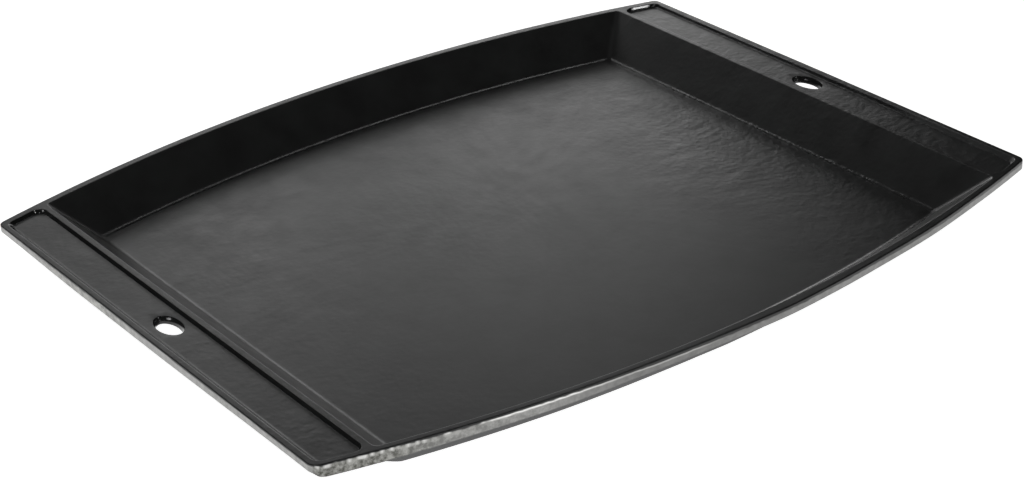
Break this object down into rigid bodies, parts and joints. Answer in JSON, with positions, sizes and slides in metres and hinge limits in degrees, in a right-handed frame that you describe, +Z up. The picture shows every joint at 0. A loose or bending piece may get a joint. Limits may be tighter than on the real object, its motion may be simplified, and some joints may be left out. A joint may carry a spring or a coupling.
{
  "type": "cast iron platter",
  "caption": "Shallow rectangular cast iron serving platter with bowed long sides, sloped walls and flat end handles, each with a recessed panel and an oval hang hole.",
  "frame": {"origin": "middle of the flat underside that the platter rests on", "axes": "+X along the length from handle to handle, +Y across the bowed sides, +Z up out of the dish"},
  "size_m": [0.3874, 0.3116, 0.022],
  "materials": {
    "seasoned_iron": "seasoned black, fine pebbled casting surface, outer edge ground and duller grey"
  },
  "bodies": {
    "root": {"platter_casting": "seasoned_iron"}
  },
  "joints": []
}
